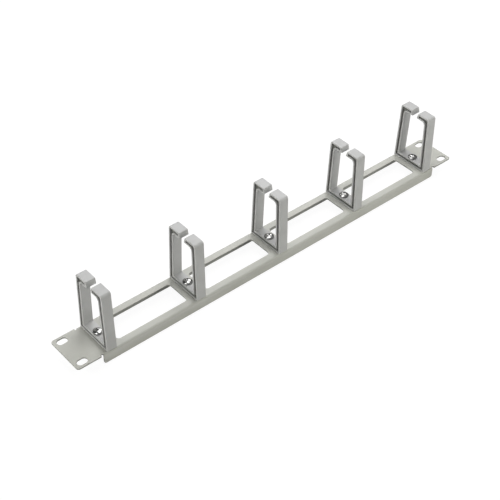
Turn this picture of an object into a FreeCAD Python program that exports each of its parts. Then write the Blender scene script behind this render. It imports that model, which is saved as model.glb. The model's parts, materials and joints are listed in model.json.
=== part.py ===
import FreeCAD, Part
import math
import os

import Sketcher

# Rack cable management panel, 19 inch wide and one rack unit high, lying face up.
# X runs along the width, Y across the height and Z out of the face.
# The origin is the centre of the plane of the two flanges' rear edges.

DRIVING_SIZES = [
    ("panel_width", "482.6", "width over the two ears"),
    ("panel_height", "44.0", "height over the two folded long edges"),
    ("sheet", "1.5", "thickness of the folded sheet"),
    ("flange_depth", "11.5", "from the face to the rear edges of the flanges"),
    ("bend_inner", "0.5", "inside radius of the two long bends"),
    ("ear_length", "25.5", "each ear, from its outer edge to the bend relief"),
    ("ear_corner", "3.0", "radius of the outer corners of the ears"),
    ("relief_width", "2.3", "notch between an ear and the end of a flange"),
    ("flange_corner", "2.5", "radius of the rear corners of the flanges"),
    ("slot_inset", "8.75", "from the ear's outer edge to the middle of a rack slot"),
    ("slot_edge", "6.125", "from the long edge to the middle of a rack slot"),
    ("slot_length", "10.5", "rack slot, along the width"),
    ("slot_height", "6.8", "rack slot, across"),
    ("end_margin", "9.5", "from the flange's end to the middle of the first ring"),
    ("rail", "8.0", "width of the sheet left in front of and behind a window"),
    ("crossbar", "22.5", "width of the sheet left between two windows"),
    ("window_corner", "3.5", "radius of the windows' corners"),
    ("ring_count", "5", "number of rings"),
    ("ring_width", "10.5", "ring, along the panel"),
    ("ring_height", "66.5", "ring, from the face to its top"),
    ("ring_base", "43.0", "ring, across its foot"),
    ("ring_top", "38.7", "ring, across its top"),
    ("ring_arm", "6.1", "thickness of the foot, arms and hooks"),
    ("mouth_top", "8.4", "gap between the two hooks, at the top"),
    ("mouth_throat", "5.0", "gap between the two hooks, at the bottom"),
    ("top_corner", "2.8", "outside radius between an arm and its hook"),
    ("hook_corner", "3.5", "inside radius between an arm and its hook"),
    ("foot_corner", "0.8", "radius of the corners at the foot and the mouth"),
    ("rim", "1.8", "edge left on each side of the groove"),
    ("groove_depth", "2.6", "groove, from the side of the ring"),
    ("groove_end", "2.2", "wall that closes the groove at a hook's end"),
    ("screw_diameter", "4.0", "thread of the ring's screw"),
    ("screw_clearance", "0.4", "how much wider the screw's holes are than the screw"),
    ("head_diameter", "9.6", "screw head"),
    ("head_height", "2.6", "screw head, from its seat to the top of its dome"),
    ("head_edge", "1.1", "height of the screw head's upright edge"),
    ("recess_span", "4.4", "cross recess, from tip to tip"),
    ("recess_blade", "1.0", "width of one arm of the cross recess"),
    ("recess_depth", "1.6", "depth of the cross recess"),
    ("recess_taper", "8.0", "lean of the cross recess's walls, in degrees"),
    ("screw_end", "2.4", "length of screw that stands out of the nut"),
    ("tip_chamfer", "0.5", "chamfer at the end of the screw"),
    ("washer_diameter", "9.0", "washer, outside"),
    ("washer_thickness", "0.8", "washer"),
    ("washer_clearance", "0.3", "how much wider the washer's hole is than the screw"),
    ("nut_flats", "7.0", "nut, across its flats"),
    ("nut_height", "3.2", "nut"),
    ("nut_clearance", "0.1", "how much wider the nut's bore is than the screw"),
    ("nut_bevel", "30.0", "lean of the bevel on the nut's corners, in degrees"),
]

doc = FreeCAD.newDocument("cable_management_panel")
sheet = doc.addObject("Spreadsheet::Sheet", "sizes")
for row, (alias, number, meaning) in enumerate(DRIVING_SIZES, start=1):
    sheet.set(f"A{row}", meaning)
    sheet.set(f"B{row}", number)
    sheet.setAlias(f"B{row}", alias)
doc.recompute()

# Sizes that follow from the driving ones, as expressions on the sheet.
BEND_OUTER = "(sizes.bend_inner + sizes.sheet)"
EAR_START = "(sizes.panel_width / 2 - sizes.ear_length)"
FLANGE_END = f"({EAR_START} - sizes.relief_width)"
FIRST_RING = f"({FLANGE_END} - sizes.end_margin)"
RING_PITCH = f"(2 * {FIRST_RING} / (sizes.ring_count - 1))"
FACE_BACK = "(sizes.flange_depth - sizes.sheet)"
HOLE = "(sizes.screw_diameter + sizes.screw_clearance)"
ARM_LEAN = "((sizes.ring_base - sizes.ring_top) / 2 / sizes.ring_height)"
HOOK_UNDERSIDE = "(sizes.ring_height - sizes.ring_arm)"
MOUTH_SLOPE = "((sizes.mouth_top - sizes.mouth_throat) / 2 / sizes.ring_arm)"
CLAMPED = "(sizes.ring_arm + sizes.sheet + sizes.washer_thickness + sizes.nut_height)"


def value(expression):
    """The present number behind an expression on the sheet."""
    number = sheet.evalExpression(expression)
    return float(getattr(number, "Value", number))


def new_body(label, x="0", z="0"):
    """An empty body with its own label, placed along the panel and above the origin's plane."""
    body = doc.addObject("PartDesign::Body", label)
    body.Label = label
    body.setExpression("Placement.Base.x", x)
    body.setExpression("Placement.Base.z", z)
    return body


def origin_feature(body, role):
    """One of the planes or axes of the body's own origin."""
    return next(feature for feature in body.Origin.OriginFeatures if feature.Role == role)


def new_sketch(body, name, plane, height="0"):
    """A sketch on one of the body's origin planes, moved along that plane's normal."""
    sketch = body.newObject("Sketcher::SketchObject", f"{body.Name}_{name}")
    sketch.AttachmentSupport = [(origin_feature(body, plane), "")]
    sketch.MapMode = "FlatFace"
    sketch.setExpression("AttachmentOffset.Base.z", height)
    return sketch


def bind(sketch, kind, *arguments, to):
    """A constraint whose size is bound to an expression."""
    number = sketch.addConstraint(Sketcher.Constraint(kind, *arguments, value(to)))
    sketch.setExpression(f"Constraints[{number}]", to)


def pin(sketch, edge, vertex, x, y):
    """Holds a vertex at the place that two expressions give."""
    bind(sketch, "DistanceX", -1, 1, edge, vertex, to=x)
    bind(sketch, "DistanceY", -1, 1, edge, vertex, to=y)


def outline(sketch, corners):
    """A closed outline through the corners (x, y, radius), rounded where a radius is given."""
    places = [FreeCAD.Vector(value(x), value(y), 0) for x, y, radius in corners]
    count = len(corners)
    starts = []
    ends = []
    for number, (x, y, radius) in enumerate(corners):
        here = places[number]
        back = (places[number - 1] - here).normalize()
        ahead = (places[(number + 1) % count] - here).normalize()
        length = value(radius) / math.tan(back.getAngle(ahead) / 2) if radius else 0
        ends.append(here + back * length)
        starts.append(here + ahead * length)
    lines = [Part.LineSegment(starts[n], ends[(n + 1) % count]) for n in range(count)]
    edges = sketch.addGeometry(lines)
    for number, (x, y, radius) in enumerate(corners):
        before = edges[number - 1]
        after = edges[number]
        if not radius:
            sketch.addConstraint(Sketcher.Constraint("Coincident", before, 2, after, 1))
            pin(sketch, after, 1, x, y)
            continue
        corner = sketch.addGeometry(Part.Point(places[number]), True)
        pin(sketch, corner, 1, x, y)
        sketch.addConstraint(Sketcher.Constraint("PointOnObject", corner, 1, before))
        sketch.addConstraint(Sketcher.Constraint("PointOnObject", corner, 1, after))
        round_corner(sketch, before, after, ends[number], starts[number], places[number], radius)


def round_corner(sketch, before, after, arc_start, arc_end, corner, radius):
    """An arc of the given radius, tangent to the edges before and after a corner."""
    bisector = (arc_start + arc_end) * 0.5 - corner
    half_chord = (arc_end - arc_start).Length / 2
    reach = bisector.Length + half_chord ** 2 / bisector.Length
    centre = corner + bisector.normalize() * reach
    turn = (corner - arc_start).cross(arc_end - corner).z
    first = math.atan2(arc_start.y - centre.y, arc_start.x - centre.x)
    last = math.atan2(arc_end.y - centre.y, arc_end.x - centre.x)
    whole_circle = Part.Circle(centre, FreeCAD.Vector(0, 0, 1), value(radius))
    if turn > 0:
        arc = sketch.addGeometry(Part.ArcOfCircle(whole_circle, first, last))
        sketch.addConstraint(Sketcher.Constraint("Tangent", before, 2, arc, 1))
        sketch.addConstraint(Sketcher.Constraint("Tangent", after, 1, arc, 2))
    else:
        arc = sketch.addGeometry(Part.ArcOfCircle(whole_circle, last, first))
        sketch.addConstraint(Sketcher.Constraint("Tangent", before, 2, arc, 2))
        sketch.addConstraint(Sketcher.Constraint("Tangent", after, 1, arc, 1))
    bind(sketch, "Radius", arc, to=radius)


def circle(sketch, x, y, diameter):
    """A full circle with its middle and diameter bound to expressions."""
    shape = Part.Circle(FreeCAD.Vector(value(x), value(y), 0), FreeCAD.Vector(0, 0, 1), value(diameter) / 2)
    edge = sketch.addGeometry(shape)
    pin(sketch, edge, 3, x, y)
    bind(sketch, "Diameter", edge, to=diameter)


def rack_slot(sketch, x, y):
    """A slot with round ends, its length along the panel's width."""
    radius = value("sizes.slot_height") / 2
    reach = (value("sizes.slot_length") / 2) - radius
    middle = FreeCAD.Vector(value(x), value(y), 0)
    side = FreeCAD.Vector(reach, 0, 0)
    rise = FreeCAD.Vector(0, radius, 0)
    normal = FreeCAD.Vector(0, 0, 1)
    top = sketch.addGeometry(Part.LineSegment(middle + side + rise, middle - side + rise))
    left_end = Part.ArcOfCircle(Part.Circle(middle - side, normal, radius), math.pi / 2, 3 * math.pi / 2)
    left = sketch.addGeometry(left_end)
    bottom = sketch.addGeometry(Part.LineSegment(middle - side - rise, middle + side - rise))
    right_end = Part.ArcOfCircle(Part.Circle(middle + side, normal, radius), -math.pi / 2, math.pi / 2)
    right = sketch.addGeometry(right_end)
    sketch.addConstraint([
        Sketcher.Constraint("Tangent", top, 2, left, 1),
        Sketcher.Constraint("Tangent", left, 2, bottom, 1),
        Sketcher.Constraint("Tangent", bottom, 2, right, 1),
        Sketcher.Constraint("Tangent", right, 2, top, 1),
        Sketcher.Constraint("Horizontal", top),
    ])
    bind(sketch, "Radius", left, to="sizes.slot_height / 2")
    pin(sketch, left, 3, f"{x} - (sizes.slot_length - sizes.slot_height) / 2", y)
    bind(sketch, "DistanceX", -1, 1, right, 3, to=f"{x} + (sizes.slot_length - sizes.slot_height) / 2")


def pad(body, sketch, length, midplane=False, reverse=False):
    """Material along the sketch's normal."""
    feature = body.newObject("PartDesign::Pad", f"{sketch.Name}_pad")
    feature.Profile = sketch
    feature.Midplane = midplane
    feature.Reversed = reverse
    feature.setExpression("Length", length)
    return feature


def pocket(body, sketch, length, reverse=False):
    """A cut against the sketch's normal, or along it when reversed."""
    feature = body.newObject("PartDesign::Pocket", f"{sketch.Name}_pocket")
    feature.Profile = sketch
    feature.Reversed = reverse
    feature.setExpression("Length", length)
    return feature


def repeat_along_width(body, feature, length, occurrences):
    """Evenly spaced copies of a cut along the panel's width."""
    pattern = body.newObject("PartDesign::LinearPattern", f"{feature.Name}_row")
    pattern.Originals = [feature]
    pattern.Direction = (origin_feature(body, "X_Axis"), [""])
    pattern.setExpression("Length", length)
    pattern.setExpression("Occurrences", occurrences)
    body.Tip = pattern
    return pattern


def round_edges(body, feature, name, radius, chosen):
    """A fillet on the edges of the feature whose middle passes the test."""
    doc.recompute()
    edges = [f"Edge{n}" for n, edge in enumerate(feature.Shape.Edges, start=1) if chosen(edge)]
    fillet = body.newObject("PartDesign::Fillet", f"{body.Name}_{name}")
    fillet.Base = (feature, edges)
    fillet.setExpression("Radius", radius)
    return fillet


def middle_of(edge):
    """The point half way along an edge."""
    return edge.valueAt((edge.FirstParameter + edge.LastParameter) / 2)


def build_panel():
    """The folded sheet with its ears, flanges, windows, rack slots and screw holes."""
    body = new_body("panel")
    half_height = "sizes.panel_height / 2"
    inner_side = "(sizes.panel_height / 2 - sizes.sheet)"
    section = new_sketch(body, "section", "YZ_Plane")
    outline(section, [
        (f"-{half_height}", "0", ""),
        (f"-{half_height}", "sizes.flange_depth", BEND_OUTER),
        (half_height, "sizes.flange_depth", BEND_OUTER),
        (half_height, "0", ""),
        (inner_side, "0", ""),
        (inner_side, FACE_BACK, "sizes.bend_inner"),
        (f"-{inner_side}", FACE_BACK, "sizes.bend_inner"),
        (f"-{inner_side}", "0", ""),
    ])
    channel = pad(body, section, f"2 * {FLANGE_END}", midplane=True)

    end = "sizes.panel_width / 2"
    bend_line = f"(sizes.panel_height / 2 - {BEND_OUTER})"
    face = new_sketch(body, "face", "XY_Plane", FACE_BACK)
    outline(face, [
        (f"-{end}", f"-{half_height}", "sizes.ear_corner"),
        (f"-{EAR_START}", f"-{half_height}", ""),
        (f"-{EAR_START}", f"-{bend_line}", ""),
        (EAR_START, f"-{bend_line}", ""),
        (EAR_START, f"-{half_height}", ""),
        (end, f"-{half_height}", "sizes.ear_corner"),
        (end, half_height, "sizes.ear_corner"),
        (EAR_START, half_height, ""),
        (EAR_START, bend_line, ""),
        (f"-{EAR_START}", bend_line, ""),
        (f"-{EAR_START}", half_height, ""),
        (f"-{end}", half_height, "sizes.ear_corner"),
    ])
    face_pad = pad(body, face, "sizes.sheet")

    flange_end = value(FLANGE_END)

    def rear_corner(edge):
        middle = middle_of(edge)
        return abs(abs(middle.x) - flange_end) < 1e-6 and abs(middle.z) < 1e-6

    rounded = round_edges(body, face_pad, "flange_corners", "sizes.flange_corner", rear_corner)

    cut_depth = "sizes.sheet"
    windows = new_sketch(body, "window", "XY_Plane", "sizes.flange_depth")
    left = f"(-{FIRST_RING} + sizes.crossbar / 2)"
    right = f"(-{FIRST_RING} + {RING_PITCH} - sizes.crossbar / 2)"
    window_half = "(sizes.panel_height / 2 - sizes.rail)"
    outline(windows, [
        (left, f"-{window_half}", "sizes.window_corner"),
        (right, f"-{window_half}", "sizes.window_corner"),
        (right, window_half, "sizes.window_corner"),
        (left, window_half, "sizes.window_corner"),
    ])
    window = pocket(body, windows, cut_depth)
    repeat_along_width(body, window, f"{RING_PITCH} * (sizes.ring_count - 2)", "sizes.ring_count - 1")

    screw_hole = new_sketch(body, "screw_hole", "XY_Plane", "sizes.flange_depth")
    circle(screw_hole, f"-{FIRST_RING}", "0", HOLE)
    hole = pocket(body, screw_hole, cut_depth)
    repeat_along_width(body, hole, f"2 * {FIRST_RING}", "sizes.ring_count")

    slots = new_sketch(body, "rack_slots", "XY_Plane", "sizes.flange_depth")
    slot_x = "(sizes.panel_width / 2 - sizes.slot_inset)"
    slot_y = "(sizes.panel_height / 2 - sizes.slot_edge)"
    for side in ("-", ""):
        for edge in ("-", ""):
            rack_slot(slots, f"{side}{slot_x}", f"{edge}{slot_y}")
    pocket(body, slots, cut_depth)
    return body


def ring_outline(sketch, inset, outer_radius, inner_radius, small_radius, end_inset):
    """The C of a ring seen along the panel, drawn the given inset inside its edges.

    The arms lean inwards, so each corner is set back along its height by the lean.
    """
    low = inset
    high = f"(sizes.ring_height - {inset})"
    foot = f"(sizes.ring_arm - {inset})"
    under = f"({HOOK_UNDERSIDE} + {inset})"

    def outer_at(height):
        return f"(sizes.ring_base / 2 - {ARM_LEAN} * {height} - {inset})"

    def inner_at(height):
        return f"(sizes.ring_base / 2 - {ARM_LEAN} * {height} - sizes.ring_arm + {inset})"

    def mouth_at(height):
        return f"(sizes.mouth_throat / 2 + {MOUTH_SLOPE} * ({height} - {HOOK_UNDERSIDE}) + {end_inset})"

    right_half = [
        (outer_at(low), low, small_radius),
        (outer_at(high), high, outer_radius),
        (mouth_at(high), high, small_radius),
        (mouth_at(under), under, small_radius),
        (inner_at(under), under, inner_radius),
        (inner_at(foot), foot, small_radius),
    ]
    left_half = [(f"-{y}", z, radius) for y, z, radius in reversed(right_half)]
    outline(sketch, right_half + left_half)


def build_ring(label, x):
    """One C-shaped ring with a groove round each side, standing on the face."""
    body = new_body(label, x, "sizes.flange_depth")
    profile = new_sketch(body, "profile", "YZ_Plane")
    ring_outline(profile, "0", "sizes.top_corner", "sizes.hook_corner", "sizes.foot_corner", "0")
    pad(body, profile, "sizes.ring_width", midplane=True)

    groove = new_sketch(body, "groove", "YZ_Plane", "sizes.ring_width / 2")
    ring_outline(groove, "sizes.rim", "(sizes.top_corner - sizes.rim)", "(sizes.hook_corner + sizes.rim)",
                 "", "sizes.groove_end")
    side_groove = pocket(body, groove, "sizes.groove_depth")
    mirrored = body.newObject("PartDesign::Mirrored", f"{label}_other_side")
    mirrored.Originals = [side_groove]
    mirrored.MirrorPlane = (origin_feature(body, "YZ_Plane"), [""])
    body.Tip = mirrored

    screw_hole = new_sketch(body, "screw_hole", "XY_Plane", "sizes.ring_arm")
    circle(screw_hole, "0", "0", HOLE)
    pocket(body, screw_hole, "sizes.ring_arm")
    return body


def build_screw(label, x):
    """A round-headed screw with a cross recess, its head seated on the ring's foot."""
    body = new_body(label, x, "sizes.flange_depth + sizes.ring_arm")
    head = "sizes.head_diameter / 2"
    shank = "sizes.screw_diameter / 2"
    length = f"({CLAMPED} + sizes.screw_end)"
    half = new_sketch(body, "half_section", "XZ_Plane")
    corners = [
        ("0", f"-{length}"),
        (f"{shank} - sizes.tip_chamfer", f"-{length}"),
        (shank, f"-{length} + sizes.tip_chamfer"),
        (shank, "0"),
        (head, "0"),
        (head, "sizes.head_edge"),
        ("0", "sizes.head_height"),
    ]
    places = [FreeCAD.Vector(value(r), value(z), 0) for r, z in corners]
    lines = [Part.LineSegment(a, b) for a, b in zip(places[:-2], places[1:-1])]
    edges = list(half.addGeometry(lines))
    rise = value("sizes.head_height - sizes.head_edge")
    dome_radius = (value(head) ** 2 + rise ** 2) / 2 / rise
    centre = FreeCAD.Vector(0, value("sizes.head_height") - dome_radius, 0)
    dome_circle = Part.Circle(centre, FreeCAD.Vector(0, 0, 1), dome_radius)
    edge_angle = math.atan2(places[-2].y - centre.y, places[-2].x)
    edges.append(half.addGeometry(Part.ArcOfCircle(dome_circle, edge_angle, math.pi / 2)))
    edges.append(half.addGeometry(Part.LineSegment(places[-1], places[0])))
    for number, (r, z) in enumerate(corners):
        half.addConstraint(Sketcher.Constraint("Coincident", edges[number - 1], 2, edges[number], 1))
        pin(half, edges[number], 1, r, z)
    half.addConstraint(Sketcher.Constraint("PointOnObject", edges[-2], 3, -2))
    turned = body.newObject("PartDesign::Revolution", f"{label}_turned")
    turned.Profile = half
    turned.ReferenceAxis = (half, ["V_Axis"])
    turned.Angle = 360

    cross = new_sketch(body, "cross", "XY_Plane", "sizes.head_height")
    tip = "sizes.recess_span / 2"
    blade = "sizes.recess_blade / 2"
    outline(cross, [
        (tip, f"-{blade}", ""), (tip, blade, ""), (blade, blade, ""),
        (blade, tip, ""), (f"-{blade}", tip, ""), (f"-{blade}", blade, ""),
        (f"-{tip}", blade, ""), (f"-{tip}", f"-{blade}", ""), (f"-{blade}", f"-{blade}", ""),
        (f"-{blade}", f"-{tip}", ""), (blade, f"-{tip}", ""), (blade, f"-{blade}", ""),
    ])
    recess = pocket(body, cross, "sizes.recess_depth")
    recess.setExpression("TaperAngle", "-sizes.recess_taper")
    return body


def build_washer(label, x):
    """A flat washer against the back of the sheet."""
    body = new_body(label, x, f"{FACE_BACK} - sizes.washer_thickness")
    disc = new_sketch(body, "disc", "XY_Plane")
    circle(disc, "0", "0", "sizes.washer_diameter")
    circle(disc, "0", "0", "sizes.screw_diameter + sizes.washer_clearance")
    pad(body, disc, "sizes.washer_thickness")
    return body


def build_nut(label, x):
    """A hexagon nut under the washer, with its corners bevelled at both ends."""
    body = new_body(label, x, f"{FACE_BACK} - sizes.washer_thickness - sizes.nut_height")
    across_corners = "(sizes.nut_flats / cos(30))"
    hexagon = new_sketch(body, "hexagon", "XY_Plane")
    half_corners = f"{across_corners} / 2"
    outline(hexagon, [
        (f"{half_corners} * cos({angle})", f"{half_corners} * sin({angle})", "")
        for angle in range(30, 390, 60)
    ])
    circle(hexagon, "0", "0", "sizes.screw_diameter + sizes.nut_clearance")
    pad(body, hexagon, "sizes.nut_height")

    flat = "sizes.nut_flats / 2"
    past_corner = f"({across_corners} - {flat})"
    drop = f"(({past_corner} - {flat}) * tan(sizes.nut_bevel))"
    bevels = new_sketch(body, "bevels", "XZ_Plane")
    outline(bevels, [(flat, "0", ""), (past_corner, "0", ""), (past_corner, drop, "")])
    outline(bevels, [
        (flat, "sizes.nut_height", ""),
        (past_corner, f"sizes.nut_height - {drop}", ""),
        (past_corner, "sizes.nut_height", ""),
    ])
    groove = body.newObject("PartDesign::Groove", f"{label}_bevels")
    groove.Profile = bevels
    groove.ReferenceAxis = (bevels, ["V_Axis"])
    groove.Angle = 360
    return body


def check_and_write(bodies):
    """Stops on any failed feature or bad shape, then writes one file for each body."""
    for item in doc.Objects:
        if "Invalid" in item.State or "Error" in item.State:
            raise RuntimeError(f"{item.Name} failed: {item.State}")
    for body in bodies:
        if body.Shape.isNull() or not body.Shape.isValid() or len(body.Shape.Solids) != 1:
            raise RuntimeError(f"{body.Label} has no single valid solid")
    os.makedirs("parts", exist_ok=True)
    for body in bodies:
        body.Shape.exportStep(f"parts/{body.Label}.step")
        print(body.Label, "volume", round(body.Shape.Volume, 3))


bodies = [build_panel()]
for number in range(int(value("sizes.ring_count"))):
    place = f"-{FIRST_RING} + {RING_PITCH} * {number}"
    bodies.append(build_ring(f"cable_ring_{number + 1}", place))
    bodies.append(build_screw(f"ring_screw_{number + 1}", place))
    bodies.append(build_washer(f"ring_washer_{number + 1}", place))
    bodies.append(build_nut(f"ring_nut_{number + 1}", place))
doc.recompute()
check_and_write(bodies)
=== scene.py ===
import json
import math

import bmesh
import bpy
from mathutils import Matrix, Quaternion, Vector

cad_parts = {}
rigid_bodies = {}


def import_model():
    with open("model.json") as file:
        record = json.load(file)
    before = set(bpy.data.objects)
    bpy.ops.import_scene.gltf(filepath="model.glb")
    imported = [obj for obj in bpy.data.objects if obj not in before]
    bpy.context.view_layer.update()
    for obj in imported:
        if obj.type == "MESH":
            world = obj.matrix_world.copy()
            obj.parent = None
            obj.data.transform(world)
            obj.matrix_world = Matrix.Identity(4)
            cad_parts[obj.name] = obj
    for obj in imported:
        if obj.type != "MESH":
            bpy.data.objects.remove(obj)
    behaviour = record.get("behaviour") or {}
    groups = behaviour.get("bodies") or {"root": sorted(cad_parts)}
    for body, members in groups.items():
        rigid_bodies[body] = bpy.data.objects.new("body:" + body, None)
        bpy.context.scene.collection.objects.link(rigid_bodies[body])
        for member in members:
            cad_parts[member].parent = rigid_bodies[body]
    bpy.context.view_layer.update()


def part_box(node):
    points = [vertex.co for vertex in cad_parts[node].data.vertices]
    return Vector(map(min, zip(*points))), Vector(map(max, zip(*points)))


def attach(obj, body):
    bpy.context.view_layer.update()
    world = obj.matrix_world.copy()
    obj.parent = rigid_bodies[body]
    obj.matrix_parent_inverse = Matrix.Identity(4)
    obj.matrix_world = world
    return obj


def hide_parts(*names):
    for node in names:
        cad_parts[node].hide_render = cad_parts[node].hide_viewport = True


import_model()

MM = 0.001

# Corners nearer than WELD are one corner, and edges sharper than SHARP_OVER stay sharp. A full round
# takes this share of its largest radius, so that its arcs don't run into each other.
WELD = 0.002 * MM
SHARP_OVER = math.radians(35)
FULL_ROUND = 0.999

# The panel is folded from one flat blank. The frame gives its half width, half height and depth.
HALF_WIDTH, HALF_HEIGHT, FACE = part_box("panel")[1]
SHEET = 1.5 * MM
BEND_OUTER = 2.0 * MM
EAR_LENGTH = 25.5 * MM
EAR_CORNER = 3.0 * MM
RELIEF_WIDTH = 2.3 * MM
NOTCH_CORNER = 0.35 * MM
FLANGE_CORNER = 2.5 * MM
SLOT_INSET = 8.75 * MM
SLOT_EDGE = 6.125 * MM
SLOT_LENGTH = 10.5 * MM
SLOT_HEIGHT = 6.8 * MM
RAIL = 8.0 * MM
CROSSBAR = 22.5 * MM
WINDOW_CORNER = 3.5 * MM
CUT_EDGE = 0.3 * MM
# Painted shade on the inner faces of the flanges, as a share of that on the cut edges.
FOLD_SHADE = 0.55
CREASE_SNAP = 0.001 * MM
BEND_STEPS = 8
ARC_STEPS = 8

# The rings are moulded. Their places, width, foot and height come from the frame.
RING_COUNT = 5
RING_TOP = 38.7 * MM
RING_ARM = 6.1 * MM
MOUTH_TOP = 8.4 * MM
MOUTH_THROAT = 5.0 * MM
TOP_CORNER = 2.8 * MM
HOOK_CORNER = 3.5 * MM
FOOT_CORNER = 0.8 * MM
SHARP_CORNER = 0.1 * MM
RIM = 1.8 * MM
GROOVE_DEPTH = 2.6 * MM
GROOVE_END = 2.2 * MM
RING_EDGE = 0.5 * MM
GROOVE_LIP = 0.2 * MM
GROOVE_FILLET = 0.35 * MM
HOLE_MARGIN = 0.1 * MM
CORNER_STEPS = 8
EDGE_STEPS = 4

# Screws, washers and nuts, M4. Their places and outer sizes come from the frame. The thread's crest
# ends and its root starts at shares of a pitch from the middle of the crest. A small round has one
# middle point, ROUND_SHARE of its radius in from the corner.
SCREW_RADIUS = 2.0 * MM
SCREW_HOLE = 2.2 * MM
THREAD_PITCH = 0.7 * MM
THREAD_DEPTH = 0.43 * MM
CREST_END = 1 / 16
ROOT_START = 3 / 8
THREAD_ROWS = 8
TIP_CHAMFER = 0.5 * MM
HEAD_EDGE = 1.1 * MM
HEAD_ROUND = 0.18 * MM
HEAD_SHARP = math.radians(28)
SHOULDER_DROP = 0.036 * MM
DOME_STEPS = 12
ROUND_SHARE = 0.3
# Shade is painted on the head over this band in from its edge.
SHADE_BAND = 1.3 * MM
RECESS_SPAN = 4.4 * MM
RECESS_BLADE = 1.0 * MM
RECESS_DEPTH = 1.6 * MM
RECESS_LEAN = math.radians(24)
RECESS_DRAFT = math.radians(6)
RECESS_MARGIN = 0.3 * MM
RECESS_TURNS = [math.radians(turn) for turn in (14, 38, 4, 52, 27)]
WASHER_HOLE = 2.15 * MM
WASHER_ROUND = 0.15 * MM
NUT_BORE = 2.05 * MM
NUT_COUNTERSINK = 0.25 * MM
NUT_BEVEL = math.radians(30)
NUT_SHARP = math.radians(20)
TURNED_STEPS = 72

# The photograph's camera, fitted to the rack's standard sizes.
CAMERA_AZIMUTH = math.radians(41.164)
CAMERA_ELEVATION = math.radians(41.763)
CAMERA_ROLL = math.radians(1.096)
CAMERA_DISTANCE = 1.13518
CAMERA_AIM = Vector((-0.017940, 0.007705, 0.004773))
CAMERA_LENS = 82.673
CAMERA_NEAR = 0.05
CAMERA_FAR = 50

# The studio: a white floor, plain fill light, and screens and a glowing card that show only as reflections,
# for painted dark and bright reflections in the metal.
FLOOR_RADIUS = 6.0
FLOOR_SIDES = 96
FLOOR_GAP = 0.05 * MM
FLOOR_GLOW = 0.94
FILL_LIGHT = 0.02
WHITE = (1, 1, 1, 1)
FLAG_RADIUS = 2.4
FLAG_FOOT = 0.15
FLAG_RISE = math.radians(45)
FLAG_TILT = math.radians(15)
ROOF_CROWN = 4.5
ROOF_OPENING = 0.1
# The glowing card paints a highlight low on the near screws.
CARD_RADIUS = 0.6
CARD_PLACE = (-1.85, 0.25, 3.4)
CARD_GLOW = 14.0

# The lamps: the name, place, aim, width, power and colour of each.
SOFTBOXES = [
    ("overhead_softbox", (0.05, 0.10, 0.70), (0.05, 0, 0), 0.35, 1.45, (1, 1, 1)),
    ("rear_softbox", (0.10, 2.20, 2.20), (0.05, 0, 0), 0.8, 18.5, (1, 1, 1)),
    ("right_softbox", (0.90, 0.90, 1.20), (0.05, 0, 0), 1.1, 11.8, (1, 1, 1)),
    ("front_softbox", (0.45, -1.00, 0.45), (0.10, 0, 0), 0.6, 4.9, (1, 1, 0.93)),
    ("left_softbox", (-1.90, 0.30, 1.20), (0, 0, 0), 0.6, 11.8, (1, 1, 0.95)),
    ("low_softbox", (-2.20, -0.30, 0.35), (0, 0, 0), 0.6, 11.6, (1, 1, 0.93)),
]


def rounded_outline(corners, steps):
    """Points of a closed outline through corners (x, y, radius), each round one an arc of equal steps."""
    points = []
    for number, (x, y, radius) in enumerate(corners):
        corner = Vector((x, y))
        if not radius:
            points.append(corner)
            continue
        back = (Vector(corners[number - 1][:2]) - corner).normalized()
        ahead = (Vector(corners[(number + 1) % len(corners)][:2]) - corner).normalized()
        half_angle = back.angle(ahead) / 2
        spoke_start = corner + back * (radius / math.tan(half_angle))
        middle = corner + (back + ahead).normalized() * (radius / math.sin(half_angle))
        turn = math.copysign(math.pi - 2 * half_angle, -back.cross(ahead))
        for step in range(steps + 1):
            points.append(middle + Matrix.Rotation(turn * step / steps, 2) @ (spoke_start - middle))
    return points


def four_quarters(quarter):
    """A whole outline from one quarter that is the same left and right, top and bottom."""
    upper = quarter + [(-x, y, radius) for x, y, radius in reversed(quarter)]
    return upper + [(x, -y, radius) for x, y, radius in reversed(upper)]


def moved(points, x, y):
    """The same points, moved along and across the panel."""
    return [point + Vector((x, y)) for point in points]


def built(bm, name):
    """An object of the scene from a mesh, with its normals outward and no doubled corners."""
    bmesh.ops.remove_doubles(bm, verts=bm.verts, dist=WELD)
    bmesh.ops.recalc_face_normals(bm, faces=bm.faces)
    mesh = bpy.data.meshes.new(name)
    bm.to_mesh(mesh)
    bm.free()
    piece = bpy.data.objects.new(name, mesh)
    bpy.context.scene.collection.objects.link(piece)
    return piece


def disc(name, radius, sides):
    """A flat round sheet."""
    bm = bmesh.new()
    bmesh.ops.create_circle(bm, cap_ends=True, cap_tris=True, segments=sides, radius=radius)
    return built(bm, name)


def turned(profile):
    """A surface turned about Z through (radius, height) points. A radius of 0 is the axis itself."""
    bm = bmesh.new()
    rows = []
    for radius, level in profile:
        if radius == 0:
            rows.append([bm.verts.new((0, 0, level))])
            continue
        angles = [2 * math.pi * step / TURNED_STEPS for step in range(TURNED_STEPS)]
        rows.append([bm.verts.new((radius * math.cos(a), radius * math.sin(a), level)) for a in angles])
    for lower, upper in zip(rows, rows[1:]):
        for n in range(TURNED_STEPS):
            ring = [lower[n - 1], lower[n]] if len(lower) > 1 else [lower[0]]
            ring += [upper[n], upper[n - 1]] if len(upper) > 1 else [upper[0]]
            if len(ring) > 2:
                bm.faces.new(ring)
    return bm


def finished(piece):
    """The piece with its modifiers made part of its mesh."""
    bpy.context.view_layer.update()
    graph = bpy.context.evaluated_depsgraph_get()
    done = bpy.data.meshes.new_from_object(piece.evaluated_get(graph))
    old = piece.data
    piece.modifiers.clear()
    piece.data = done
    if old.users == 0:
        bpy.data.batch_remove([old])
    return piece


def cut_away(piece, cutter):
    """The piece with the cutter's space removed."""
    cut = piece.modifiers.new("cut", "BOOLEAN")
    cut.operation = "DIFFERENCE"
    cut.solver = "EXACT"
    cut.object = cutter
    finished(piece)
    bpy.data.objects.remove(cutter)
    return piece


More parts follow.
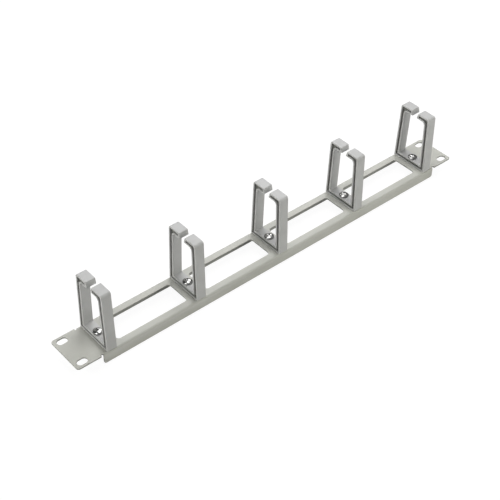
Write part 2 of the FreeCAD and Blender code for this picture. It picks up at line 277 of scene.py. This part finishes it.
def soft_shaded(piece, sharp_over=SHARP_OVER):
    """Smooth shading that keeps the flat faces flat and the true corners sharp."""
    piece.data.shade_smooth()
    piece.data.set_sharp_from_angle(angle=sharp_over)
    even = piece.modifiers.new("even_faces", "WEIGHTED_NORMAL")
    even.keep_sharp = True
    return finished(piece)


def mark_corners(piece, name, value_at):
    """Stores a number from 0 to 1 on each corner of the mesh, for the material to read."""
    marks = piece.data.attributes.new(name, "FLOAT", "POINT")
    for vertex, mark in zip(piece.data.vertices, marks.data):
        mark.value = min(max(value_at(vertex.co), 0), 1)


def dressed(piece, material, node):
    """Gives a finished piece its material and puts it in the place of its node."""
    piece.data.materials.clear()
    piece.data.materials.append(material)
    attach(piece, "root")
    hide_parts(node)
    return piece


bend_start = HALF_HEIGHT - BEND_OUTER
bend_length = BEND_OUTER * math.pi / 2
flange_edge = bend_start + bend_length + FACE - BEND_OUTER
ear_start = HALF_WIDTH - EAR_LENGTH
flange_end = ear_start - RELIEF_WIDTH
fold_end = flange_end + RELIEF_WIDTH / 2
ring_boxes = [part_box(f"cable_ring_{number + 1}") for number in range(RING_COUNT)]
ring_places = [(low.x + high.x) / 2 for low, high in ring_boxes]


def blank_outlines():
    """The flat blank's outside, then its windows, rack slots and screw holes."""
    outlines = [rounded_outline(four_quarters([
        (HALF_WIDTH, HALF_HEIGHT, EAR_CORNER),
        (ear_start, HALF_HEIGHT, NOTCH_CORNER),
        (ear_start, bend_start, NOTCH_CORNER),
        (flange_end, bend_start, NOTCH_CORNER),
        (flange_end, flange_edge, FLANGE_CORNER),
    ]), ARC_STEPS)]
    for before, after in zip(ring_places, ring_places[1:]):
        half_window = (after - before - CROSSBAR) / 2
        window_quarter = [(half_window, HALF_HEIGHT - RAIL, WINDOW_CORNER)]
        window = rounded_outline(four_quarters(window_quarter), ARC_STEPS)
        outlines.append(moved(window, (before + after) / 2, 0))
    slot_quarter = [(SLOT_LENGTH / 2, SLOT_HEIGHT / 2, SLOT_HEIGHT / 2 * FULL_ROUND)]
    slot = rounded_outline(four_quarters(slot_quarter), 2 * ARC_STEPS)
    for side in (-1, 1):
        for edge in (-1, 1):
            outlines.append(moved(slot, side * (HALF_WIDTH - SLOT_INSET), edge * (HALF_HEIGHT - SLOT_EDGE)))
    hole_quarter = [(SCREW_HOLE, SCREW_HOLE, SCREW_HOLE * FULL_ROUND)]
    hole = rounded_outline(four_quarters(hole_quarter), ARC_STEPS)
    outlines += [moved(hole, place, 0) for place in ring_places]
    return outlines


def flat_blank():
    """The flat sheet with rounded cut edges, its outer face at height 0."""
    curve = bpy.data.curves.new("blank", "CURVE")
    curve.dimensions = "2D"
    curve.fill_mode = "BOTH"
    curve.extrude = SHEET / 2 - CUT_EDGE
    curve.bevel_depth = CUT_EDGE
    curve.bevel_resolution = 2
    curve.offset = -CUT_EDGE
    for outline in blank_outlines():
        spline = curve.splines.new("POLY")
        spline.points.add(len(outline) - 1)
        for place, point in zip(spline.points, outline):
            place.co = (point.x, point.y, 0, 1)
        spline.use_cyclic_u = True
    blank = bpy.data.objects.new("blank", curve)
    bpy.context.scene.collection.objects.link(blank)
    bpy.context.view_layer.update()
    graph = bpy.context.evaluated_depsgraph_get()
    bm = bmesh.new()
    bm.from_mesh(bpy.data.meshes.new_from_object(blank.evaluated_get(graph)))
    bpy.data.objects.remove(blank)
    bmesh.ops.translate(bm, verts=bm.verts, vec=(0, 0, -SHEET / 2))
    return bm


def folded(point):
    """Where a point of the blank goes once the two long flanges are bent down."""
    past = abs(point.y) - bend_start
    if past <= 0 or abs(point.x) > fold_end:
        return Vector((point.x, point.y, FACE + point.z))
    side = math.copysign(1, point.y)
    if past > bend_length:
        return Vector((point.x, side * (HALF_HEIGHT + point.z), FACE - BEND_OUTER - past + bend_length))
    angle = past / BEND_OUTER
    reach = BEND_OUTER + point.z
    across = side * (bend_start + reach * math.sin(angle))
    return Vector((point.x, across, FACE - BEND_OUTER + reach * math.cos(angle)))


def folded_panel(material):
    """The blank, creased finely along its two bends and folded."""
    bm = flat_blank()
    bmesh.ops.remove_doubles(bm, verts=bm.verts, dist=WELD)
    for side in (-1, 1):
        for step in range(BEND_STEPS + 1):
            place = (0, side * (bend_start + bend_length * step / BEND_STEPS), 0)
            whole = bm.verts[:] + bm.edges[:] + bm.faces[:]
            bmesh.ops.bisect_plane(bm, geom=whole, dist=CREASE_SNAP, plane_co=place, plane_no=(0, 1, 0))
    for vertex in bm.verts:
        vertex.co = folded(vertex.co)
    piece = soft_shaded(built(bm, "folded_panel"))

    def painted_shade_at(point):
        """Where shade is painted: 1 on the cut edges, up to the fold's share on the inner faces of the
        flanges, 0 elsewhere.
        """
        past = abs(point.y) - bend_start if abs(point.x) < fold_end else 0
        reach = Vector((max(past, 0), max(point.z - FACE + BEND_OUTER, 0))).length
        depth = (BEND_OUTER - reach) / SHEET
        cut_edge = min(depth, 1 - depth) * SHEET / CUT_EDGE
        below = min(max((FACE - SHEET - point.z) / (BEND_OUTER - SHEET), 0), 1)
        return max(cut_edge, depth * below * FOLD_SHADE)

    mark_corners(piece, "painted_shade", painted_shade_at)
    return dressed(piece, material, "panel")


def ring_loop(inset, base, height):
    """The C of a ring seen along the panel, drawn inside its edges by the inset."""
    lean = (base - RING_TOP) / 2 / height
    hook_underside = height - RING_ARM
    mouth_slope = (MOUTH_TOP - MOUTH_THROAT) / 2 / RING_ARM
    end_inset = inset * GROOVE_END / RIM
    small = max(FOOT_CORNER * (1 - inset / RIM), SHARP_CORNER)
    high = height - inset
    under = hook_underside + inset
    foot = RING_ARM - inset

    def outer_at(level):
        return base / 2 - lean * level - inset

    def inner_at(level):
        return base / 2 - lean * level - RING_ARM + inset

    def mouth_at(level):
        return MOUTH_THROAT / 2 + mouth_slope * (level - hook_underside) + end_inset

    right_half = [
        (outer_at(inset), inset, small),
        (outer_at(high), high, TOP_CORNER - inset),
        (mouth_at(high), high, small),
        (mouth_at(under), under, small),
        (inner_at(under), under, HOOK_CORNER + inset),
        (inner_at(foot), foot, small),
    ]
    left_half = [(-y, z, radius) for y, z, radius in reversed(right_half)]
    return rounded_outline(right_half + left_half, CORNER_STEPS)


def ring_section(half_width):
    """Half of a ring's rim in section, as (inset, distance from the middle), from outside inwards."""
    quarters = [math.pi / 2 * step / EDGE_STEPS for step in range(EDGE_STEPS + 1)]
    edge_middle = half_width - RING_EDGE
    lip_middle = half_width - GROOVE_LIP
    fillet_middle = half_width - GROOVE_DEPTH + GROOVE_FILLET
    section = []
    for angle in quarters:
        section.append((RING_EDGE * (1 - math.cos(angle)), edge_middle + RING_EDGE * math.sin(angle)))
    for angle in quarters:
        inset = RIM - GROOVE_LIP * (1 - math.sin(angle))
        section.append((inset, lip_middle + GROOVE_LIP * math.cos(angle)))
    for angle in quarters:
        inset = RIM + GROOVE_FILLET * (1 - math.cos(angle))
        section.append((inset, fillet_middle - GROOVE_FILLET * math.sin(angle)))
    return section


def moulded_ring(number, material):
    """A C-shaped ring with a groove round each side and the screw's hole through its foot."""
    low, high = ring_boxes[number]
    base = high.y - low.y
    height = high.z - low.z
    half_width = (high.x - low.x) / 2
    section = ring_section(half_width)
    whole_way = [(inset, -across) for inset, across in reversed(section)] + section
    bm = bmesh.new()
    loops = []
    for inset, across in whole_way:
        outline = ring_loop(inset, base, height)
        loops.append([bm.verts.new((ring_places[number] + across, p.x, low.z + p.y)) for p in outline])
    count = len(loops[0])
    for near, far in zip(loops, loops[1:]):
        for n in range(count):
            bm.faces.new((near[n - 1], near[n], far[n], far[n - 1]))
    # The groove's floor runs from one hook end round the foot to the other. The outline starts at
    # the foot and comes to its inside after three corners, at the underside of the hook.
    inside_start = 3 * (CORNER_STEPS + 1)
    for loop in (loops[0], loops[-1]):
        outside = [loop[inside_start - 1 - n] for n in range(count // 2)]
        inside = [loop[inside_start + n] for n in range(count // 2)]
        for n in range(count // 2 - 1):
            bm.faces.new((outside[n], outside[n + 1], inside[n + 1], inside[n]))
    ring = built(bm, f"moulded_ring_{number + 1}")
    drill = turned([(0, -height), (SCREW_HOLE, -height), (SCREW_HOLE, 2 * RING_ARM), (0, 2 * RING_ARM)])
    bmesh.ops.translate(drill, verts=drill.verts, vec=(ring_places[number], 0, low.z))
    cut_away(ring, built(drill, "drill"))
    soft_shaded(ring)

    def depth_at(point):
        """Where shade is painted: 1 on the floors of the two grooves, 0 elsewhere."""
        across = abs(point.x - ring_places[number])
        return float(SCREW_HOLE + HOLE_MARGIN < across < half_width - 2 * RING_EDGE)

    mark_corners(ring, "depth", depth_at)
    return dressed(ring, material, f"cable_ring_{number + 1}")


def thread_radius(level, turn, low, high):
    """The thread's radius at a height and a share of a turn, with its runout and its chamfered tip."""
    phase = ((level - low) / THREAD_PITCH - turn + 0.5) % 1 - 0.5
    share = min(max((abs(phase) - CREST_END) / (ROOT_START - CREST_END), 0), 1)
    runout = min(max((high - level) / THREAD_PITCH, 0), 1)
    return min(SCREW_RADIUS - THREAD_DEPTH * share * runout, SCREW_RADIUS - TIP_CHAMFER + level - low)


def add_thread(bm, low, high):
    """A threaded shank from its flat tip up to the underside of the head."""
    turns = int((high - low) / THREAD_PITCH) + 2
    columns = []
    for step in range(TURNED_STEPS):
        turn = step / TURNED_STEPS
        angle = 2 * math.pi * turn
        column = []
        for row in range(turns * THREAD_ROWS + 1):
            level = min(max(low + THREAD_PITCH * (row / THREAD_ROWS + turn - 1), low), high)
            radius = thread_radius(level, turn, low, high)
            column.append(bm.verts.new((radius * math.cos(angle), radius * math.sin(angle), level)))
        columns.append(column)
    for step in range(TURNED_STEPS):
        here = columns[step]
        beyond = columns[(step + 1) % TURNED_STEPS]
        shift = THREAD_ROWS if step == TURNED_STEPS - 1 else 0
        for row in range(turns * THREAD_ROWS - shift):
            bm.faces.new((here[row], beyond[row + shift], beyond[row + shift + 1], here[row + 1]))
    tip = bm.verts.new((0, 0, low))
    for step in range(TURNED_STEPS):
        bm.faces.new((tip, columns[(step + 1) % TURNED_STEPS][0], columns[step][0]))


def cross_driver(top, angle):
    """The space of a cross recess: four blades that narrow and lean in towards the bottom."""
    bm = bmesh.new()
    rims = []
    for depth in (-HEAD_EDGE, RECESS_DEPTH):
        reach = RECESS_SPAN / 2 - depth * math.tan(RECESS_LEAN)
        half = RECESS_BLADE / 2 - depth * math.tan(RECESS_DRAFT)
        rim = []
        for quarter in range(4):
            turn = Matrix.Rotation(angle + quarter * math.pi / 2, 2)
            for x, y in ((reach, -half), (reach, half), (half, half)):
                spot = turn @ Vector((x, y))
                rim.append(bm.verts.new((spot.x, spot.y, top - depth)))
        rims.append(rim)
    for n in range(len(rims[0])):
        bm.faces.new((rims[0][n - 1], rims[0][n], rims[1][n], rims[1][n - 1]))
    bm.faces.new(rims[0])
    bm.faces.new(rims[1])
    bmesh.ops.triangulate(bm, faces=bm.faces)
    return bm


def plated_screw(number, material):
    """A round-headed screw with a cross recess and a rolled thread."""
    node = f"ring_screw_{number + 1}"
    low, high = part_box(node)
    seat = ring_boxes[number][0].z + RING_ARM
    head_radius = (high.x - low.x) / 2
    rise = high.z - seat - HEAD_EDGE
    dome_radius = (head_radius ** 2 + rise ** 2) / 2 / rise
    dome_middle = high.z - dome_radius
    rim_angle = math.asin(head_radius / dome_radius)
    dome = []
    for step in range(DOME_STEPS + 1):
        angle = rim_angle * (1 - step / DOME_STEPS)
        dome.append((dome_radius * math.sin(angle), dome_middle + dome_radius * math.cos(angle)))
    rounded = ROUND_SHARE * HEAD_ROUND
    rim_low = [(head_radius - HEAD_ROUND, seat), (head_radius - rounded, seat + rounded)]
    rim_high = [(head_radius, seat + HEAD_ROUND), (head_radius, seat + HEAD_EDGE - HEAD_ROUND)]
    dome[0] = (head_radius - rounded, seat + HEAD_EDGE - SHOULDER_DROP)
    dome[-1] = (0, high.z)
    head = turned([(SCREW_RADIUS, seat)] + rim_low + rim_high + dome)
    add_thread(head, low.z, seat)
    screw = built(head, f"plated_screw_{number + 1}")
    cut_away(screw, built(cross_driver(high.z, RECESS_TURNS[number]), "driver"))
    soft_shaded(screw, HEAD_SHARP)

    def depth_at(point):
        """Where shade is painted: 1 down in the recess, and rising from 0 to 1 towards the head's edge."""
        reach = Vector((point.x, point.y)).length
        below_dome = (point - Vector((0, 0, dome_middle))).length < dome_radius - RECESS_MARGIN
        in_recess = point.z > seat and reach < RECESS_SPAN / 2 and below_dome
        near_edge = (reach - head_radius + SHADE_BAND) / SHADE_BAND
        return 1.0 if in_recess else near_edge

    mark_corners(screw, "depth", depth_at)
    screw.data.transform(Matrix.Translation(((low.x + high.x) / 2, 0, 0)))
    return dressed(screw, material, node)


def flat_washer(number, material):
    """A punched washer, its outer edge rolled over a little below."""
    node = f"ring_washer_{number + 1}"
    low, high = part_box(node)
    radius = (high.x - low.x) / 2
    rolled = ROUND_SHARE * WASHER_ROUND
    bm = turned([
        (WASHER_HOLE, low.z),
        (radius - WASHER_ROUND, low.z),
        (radius - rolled, low.z + rolled),
        (radius, low.z + WASHER_ROUND),
        (radius, high.z),
        (WASHER_HOLE, high.z),
        (WASHER_HOLE, low.z),
    ])
    bmesh.ops.translate(bm, verts=bm.verts, vec=((low.x + high.x) / 2, 0, 0))
    washer = soft_shaded(built(bm, f"flat_washer_{number + 1}"))
    return dressed(washer, material, node)


def hexagon_nut(number, material):
    """A nut with bevelled corners and a countersunk bore."""
    node = f"ring_nut_{number + 1}"
    low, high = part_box(node)
    half_side_angle = math.pi / 6
    flat = (high.y - low.y) / 2 * math.cos(half_side_angle)
    bm = bmesh.new()
    rows = []
    for step in range(TURNED_STEPS):
        angle = 2 * math.pi * step / TURNED_STEPS
        from_flat = (angle + half_side_angle) % (2 * half_side_angle) - half_side_angle
        side = flat / math.cos(from_flat)
        drop = (side - flat) * math.tan(NUT_BEVEL)
        profile = [
            (NUT_BORE, low.z + NUT_COUNTERSINK), (NUT_BORE + NUT_COUNTERSINK, low.z), (flat, low.z),
            (side, low.z + drop), (side, high.z - drop), (flat, high.z),
            (NUT_BORE + NUT_COUNTERSINK, high.z), (NUT_BORE, high.z - NUT_COUNTERSINK),
        ]
        rows.append([bm.verts.new((r * math.cos(angle), r * math.sin(angle), z)) for r, z in profile])
    for step in range(TURNED_STEPS):
        here = rows[step - 1]
        beyond = rows[step]
        for n in range(len(here)):
            bm.faces.new((here[n - 1], here[n], beyond[n], beyond[n - 1]))
    bmesh.ops.translate(bm, verts=bm.verts, vec=((low.x + high.x) / 2, 0, 0))
    nut = soft_shaded(built(bm, f"hexagon_nut_{number + 1}"), NUT_SHARP)
    return dressed(nut, material, node)


class Level:
    """A number that varies over a surface. Arithmetic on it adds Math nodes."""

    def __init__(self, finish, socket):
        self.finish = finish
        self.socket = socket

    def maths(self, operation, first, second):
        """The level that one Math node makes of two levels or numbers."""
        added = self.finish.node("ShaderNodeMath", {"operation": operation}, {0: first, 1: second})
        return Level(self.finish, added.outputs[0])

    def __add__(self, other):
        return self.maths("ADD", self, other)

    def __radd__(self, other):
        return self.maths("ADD", other, self)

    def __sub__(self, other):
        return self.maths("SUBTRACT", self, other)

    def __rsub__(self, other):
        return self.maths("SUBTRACT", other, self)

    def __mul__(self, other):
        return self.maths("MULTIPLY", self, other)

    def __rmul__(self, other):
        return self.maths("MULTIPLY", other, self)


class Finish:
    """The node tree of a material or of the world."""

    def __init__(self, tree):
        self.tree = tree
        tree.nodes.clear()

    def node(self, kind, settings=None, inputs=None):
        """A node of any kind: its settings first, then the values or links of its sockets."""
        added = self.tree.nodes.new(kind)
        for name, setting in (settings or {}).items():
            setattr(added, name, setting)
        for name, given in (inputs or {}).items():
            if isinstance(given, Level):
                self.tree.links.new(given.socket, added.inputs[name])
            elif isinstance(given, bpy.types.NodeSocket):
                self.tree.links.new(given, added.inputs[name])
            else:
                added.inputs[name].default_value = given
        return added

    def places(self):
        """The place on the object, in metres."""
        return self.node("ShaderNodeTexCoord").outputs["Object"]

    def noise(self, size, detail=2.0, roughness=0.5):
        """Soft random variation about 0.5, seldom past 0.3 and 0.7, in patches as wide as the size."""
        inputs = {"Vector": self.places(), "Scale": 1 / size, "Detail": detail, "Roughness": roughness}
        return Level(self, self.node("ShaderNodeTexNoise", None, inputs).outputs["Fac"])

    def limited(self, level, from_low, from_high, to_low=0.0, to_high=1.0):
        """The level moved from one range to another and held inside it."""
        inputs = {
            "Value": level,
            "From Min": from_low,
            "From Max": from_high,
            "To Min": to_low,
            "To Max": to_high,
        }
        return Level(self, self.node("ShaderNodeMapRange", {"clamp": True}, inputs).outputs["Result"])

    def blend(self, share, first, second):
        """A colour between two colours, at sockets 6 and 7 of the Mix node, its result at output 2."""
        return self.node("ShaderNodeMix", {"data_type": "RGBA"}, {0: share, 6: first, 7: second}).outputs[2]

    def bump(self, height, depth, over=None):
        """A surface raised by the height times the depth, over another such surface if one is given."""
        inputs = {"Height": height, "Distance": depth, "Strength": 1.0}
        if over is not None:
            inputs["Normal"] = over
        return self.node("ShaderNodeBump", None, inputs).outputs["Normal"]

    def attribute(self, name):
        """A number stored on the mesh."""
        return Level(self, self.node("ShaderNodeAttribute", {"attribute_name": name}).outputs["Fac"])

    def edge(self):
        """1 on the outward edges, 0 on flat faces, whose pointiness is 0.5, and in hollows."""
        bulge = Level(self, self.node("ShaderNodeNewGeometry").outputs["Pointiness"])
        return self.limited(bulge, 0.51, 0.58)

    def seen_share(self):
        """1 where the eye sees the surface straight, in metal or through glass, and 0 elsewhere."""
        seen = self.node("ShaderNodeLightPath").outputs
        share = Level(self, seen["Is Camera Ray"]) + Level(self, seen["Is Glossy Ray"])
        return share + Level(self, seen["Is Transmission Ray"])

    def by_eye(self, lit, seen):
        """A shader that lights the object as the first one does and looks like the second."""
        choice = {0: self.seen_share(), 1: lit.outputs[0], 2: seen.outputs[0]}
        return self.node("ShaderNodeMixShader", None, choice)

    def output(self, shader):
        """The material's output, which shows the shader."""
        self.node("ShaderNodeOutputMaterial", None, {"Surface": shader.outputs[0]})

    def surface(self, inputs):
        """The material's one surface shader, joined to its output."""
        self.output(self.node("ShaderNodeBsdfPrincipled", None, inputs))


def new_finish(name):
    """A material and the finish that fills its nodes."""
    material = bpy.data.materials.new(name)
    material.use_nodes = True
    return material, Finish(material.node_tree)


def powder_coat():
    """Light grey satin powder paint: sandy grain over soft waves, painted shade on the cut edges and inside
    the folds, and paler outward edges, partly wear and partly a painted highlight.
    """
    material, paint = new_finish("light_grey_powder_coat")
    clouds = paint.noise(45 * MM, 3.0)
    grain = paint.noise(0.35 * MM, 2.0)
    waves = paint.noise(1.3 * MM, 1.0)
    tone = clouds * 0.6 + grain * 0.4
    grey = (0.538, 0.540, 0.497, 1)
    light_grey = (0.588, 0.590, 0.549, 1)
    worn_highlight_grey = (0.66, 0.66, 0.63, 1)
    painted_shade_grey = (0.20, 0.20, 0.185, 1)
    colour = paint.blend(paint.limited(tone, 0.35, 0.65), grey, light_grey)
    # Paler on the outward edges: partly wear, partly a painted highlight.
    worn = paint.edge() * paint.limited(grain + clouds, 0.8, 1.2, 0.2, 0.9)
    colour = paint.blend(worn, colour, worn_highlight_grey)
    # Painted shade on the cut edges and inside the folds.
    colour = paint.blend(paint.attribute("painted_shade") * 0.75, colour, painted_shade_grey)
    raised = paint.bump(waves, 0.020 * MM, paint.bump(grain, 0.006 * MM))
    paint.surface({
        "Base Color": colour,
        "Roughness": paint.limited(grain + clouds * 0.5, 0.5, 1.0, 0.40, 0.54) - worn * 0.08,
        "Normal": raised,
        "Specular IOR Level": 0.45,
    })
    return material


def moulded_plastic():
    """Light grey plastic from a finely eroded mould, matt, with painted shade down in the groove, and paler
    edges, partly rubbing and partly a painted highlight.
    """
    material, plastic = new_finish("moulded_grey_plastic")
    grain = plastic.noise(0.22 * MM, 2.0)
    flow = plastic.noise(14 * MM, 3.0)
    tone = flow * 0.7 + grain * 0.3
    grey = (0.528, 0.529, 0.531, 1)
    light_grey = (0.582, 0.584, 0.590, 1)
    rub_highlight_grey = (0.64, 0.64, 0.63, 1)
    groove_shade = (0.185, 0.187, 0.171, 1)
    colour = plastic.blend(plastic.limited(tone, 0.35, 0.65), grey, light_grey)
    # Paler on the edges: partly rubbing, partly a painted highlight.
    rub_and_highlight = plastic.edge() * plastic.limited(grain + flow, 0.8, 1.2, 0.1, 0.7)
    colour = plastic.blend(rub_and_highlight, colour, rub_highlight_grey)
    # Painted shade down in the grooves, deepest on their floors.
    depth = plastic.attribute("depth")
    shaded = depth * depth * plastic.limited(flow, 0.3, 0.7, 0.8, 1.0)
    colour = plastic.blend(shaded, colour, groove_shade)
    raised = plastic.bump(flow, 0.03 * MM, plastic.bump(grain, 0.008 * MM))
    plastic.surface({
        "Base Color": colour,
        "Roughness": plastic.limited(grain + flow * 0.5, 0.5, 1.0, 0.48, 0.62) + depth * 0.2 - rub_and_highlight * 0.1,
        "Normal": raised,
        "Specular IOR Level": 0.4,
    })
    return material


def bright_nickel():
    """Polished nickel plate on the screws, with painted shade round the head's edge and down in the recess.
    """
    material, plate = new_finish("bright_nickel_plate")
    haze = plate.noise(1.2 * MM, 3.0)
    marks = plate.noise(0.12 * MM, 2.0)
    nickel = (0.50, 0.50, 0.49, 1)
    light_nickel = (0.64, 0.64, 0.63, 1)
    painted_shade_black = (0.05, 0.05, 0.05, 1)
    polished_edge = (0.78, 0.78, 0.77, 1)
    colour = plate.blend(haze, nickel, light_nickel)
    depth = plate.attribute("depth")
    # Painted shade round the head's edge and down in the recess.
    shade_share = plate.limited(depth, 0.0, 0.8) * plate.limited(haze, 0.3, 0.7, 0.8, 1.0)
    colour = plate.blend(shade_share, colour, painted_shade_black)
    colour = plate.blend(plate.edge() * 0.6, colour, polished_edge)
    plate.surface({
        "Base Color": colour,
        "Metallic": 1.0,
        "Roughness": plate.limited(haze + marks * 0.3, 0.3, 1.0, 0.08, 0.16) + depth * 0.25,
        "Normal": plate.bump(marks, 0.0015 * MM),
    })
    return material


def zinc_plate():
    """Bright zinc plate, a little mottled, on the washers and nuts."""
    material, plate = new_finish("bright_zinc_plate")
    mottle = plate.noise(0.9 * MM, 3.0, 0.6)
    marks = plate.noise(0.1 * MM, 2.0)
    blue_zinc = (0.50, 0.52, 0.55, 1)
    light_zinc = (0.68, 0.69, 0.70, 1)
    worn_zinc = (0.78, 0.78, 0.77, 1)
    colour = plate.blend(mottle, blue_zinc, light_zinc)
    worn = plate.edge() * plate.limited(mottle, 0.3, 0.7, 0.3, 1.0)
    plate.surface({
        "Base Color": plate.blend(worn, colour, worn_zinc),
        "Metallic": 1.0,
        "Roughness": plate.limited(mottle, 0.3, 0.7, 0.24, 0.42) - worn * 0.1,
        "Normal": plate.bump(marks, 0.004 * MM),
    })
    return material


def white_floor():
    """A white floor that stays white to the camera and keeps the object's shadow."""
    floor = disc("floor", FLOOR_RADIUS, FLOOR_SIDES)
    floor.location.z = -FLOOR_GAP
    material, paper = new_finish("white_paper")
    paper_white = (0.65, 0.65, 0.64, 1)
    shadow_grey = (0.12, 0.12, 0.12, 1)
    lit = paper.node("ShaderNodeBsdfDiffuse", None, {"Color": paper_white})
    faint = paper.node("ShaderNodeBsdfDiffuse", None, {"Color": shadow_grey})
    glow = paper.node("ShaderNodeEmission", None, {"Color": WHITE, "Strength": FLOOR_GLOW})
    seen = paper.node("ShaderNodeAddShader", None, {0: faint.outputs[0], 1: glow.outputs[0]})
    paper.output(paper.by_eye(lit, seen))
    floor.data.materials.append(material)


def stage_reflected(screen):
    """Stages a screen that shows only as a reflection."""
    screen.visible_camera = False
    screen.visible_diffuse = False
    screen.visible_shadow = False


def reflected_screen(name, rows, colours, cover):
    """A round screen through rows of points, seen only as a painted reflection, darker and lighter in wide
    folds. Its cover is how thick it hangs.
    """
    bm = bmesh.new()
    hung = [[bm.verts.new(point) for point in row] for row in rows]
    for lower, upper in zip(hung, hung[1:]):
        for n in range(TURNED_STEPS):
            bm.faces.new((lower[n - 1], lower[n], upper[n], upper[n - 1]))
    screen = built(bm, name)
    material, cloth = new_finish(name + "_cloth")
    folds = cloth.limited(cloth.noise(0.9), 0.4, 0.6)
    colour = cloth.blend(folds, *colours)
    cloth.surface({"Base Color": colour, "Roughness": 0.9, "Alpha": cover - 0.1 * folds})
    screen.data.materials.append(material)
    stage_reflected(screen)


def dark_reflection_walls():
    """Black walls and a grey roof, seen only as reflections, painting dark reflections in the metal; the
    walls are highest behind the set.
    """
    foot = []
    rim = []
    crown = []
    for step in range(TURNED_STEPS):
        angle = 2 * math.pi * step / TURNED_STEPS
        way = Vector((math.cos(angle), math.sin(angle), 0))
        rise = FLAG_RISE + FLAG_TILT * (math.sin(angle) - math.cos(angle))
        foot.append(way * FLAG_RADIUS + Vector((0, 0, FLAG_FOOT)))
        rim.append(way * FLAG_RADIUS + Vector((0, 0, FLAG_RADIUS * math.tan(rise))))
        crown.append(way * ROOF_OPENING + Vector((0, 0, ROOF_CROWN)))
    black = [(0.02, 0.02, 0.02, 1), (0.10, 0.10, 0.10, 1)]
    grey = [(0.10, 0.10, 0.10, 1), (0.20, 0.20, 0.20, 1)]
    reflected_screen("dark_reflection_walls", [foot, rim], black, 1.0)
    reflected_screen("grey_reflection_roof", [rim, crown], grey, 0.75)


def highlight_card():
    """A round card high on the left that glows and shows only as a reflection: a painted highlight low on
    the near screws.
    """
    card = disc("highlight_card", CARD_RADIUS, TURNED_STEPS)
    card.location = CARD_PLACE
    material, paper = new_finish("highlight_card_glow")
    paper.output(paper.node("ShaderNodeEmission", None, {"Color": WHITE, "Strength": CARD_GLOW}))
    card.data.materials.append(material)
    stage_reflected(card)


def studio_world():
    """Plain fill light from all round, and a white background to the eye and in the metal."""
    world = bpy.data.worlds.new("studio")
    world.use_nodes = True
    bpy.context.scene.world = world
    air = Finish(world.node_tree)
    fill = air.node("ShaderNodeBackground", None, {"Color": WHITE, "Strength": FILL_LIGHT})
    background = air.node("ShaderNodeBackground", None, {"Color": WHITE, "Strength": 1.0})
    shown = air.by_eye(fill, background)
    air.node("ShaderNodeOutputWorld", None, {"Surface": shown.outputs[0]})


def soft_lamp(name, place, aim, size, power, colour):
    """A square softbox that looks at its aim."""
    lamp = bpy.data.lights.new(name, "AREA")
    lamp.size = size
    lamp.energy = power
    lamp.color = colour
    box = bpy.data.objects.new(name, lamp)
    bpy.context.scene.collection.objects.link(box)
    box.location = place
    box.rotation_mode = "QUATERNION"
    box.rotation_quaternion = (Vector(aim) - Vector(place)).to_track_quat("-Z", "Y")


def add_camera():
    """The camera at the photograph's place, looking along its azimuth from +Y towards +X, and down."""
    look = Vector((
        math.sin(CAMERA_AZIMUTH) * math.cos(CAMERA_ELEVATION),
        math.cos(CAMERA_AZIMUTH) * math.cos(CAMERA_ELEVATION),
        -math.sin(CAMERA_ELEVATION),
    ))
    camera = bpy.data.objects.new("camera", bpy.data.cameras.new("camera"))
    bpy.context.scene.collection.objects.link(camera)
    camera.data.lens = CAMERA_LENS
    camera.rotation_mode = "QUATERNION"
    camera.rotation_quaternion = look.to_track_quat("-Z", "Y") @ Quaternion((0, 0, 1), CAMERA_ROLL)
    camera.location = CAMERA_AIM - look * CAMERA_DISTANCE
    camera.data.clip_start = CAMERA_NEAR
    camera.data.clip_end = CAMERA_FAR
    bpy.context.scene.camera = camera


folded_panel(powder_coat())
plastic = moulded_plastic()
nickel = bright_nickel()
zinc = zinc_plate()
for number in range(RING_COUNT):
    moulded_ring(number, plastic)
    plated_screw(number, nickel)
    flat_washer(number, zinc)
    hexagon_nut(number, zinc)

white_floor()
studio_world()
dark_reflection_walls()
highlight_card()
for softbox in SOFTBOXES:
    soft_lamp(*softbox)
add_camera()

bpy.context.scene.view_settings.view_transform = "Standard"
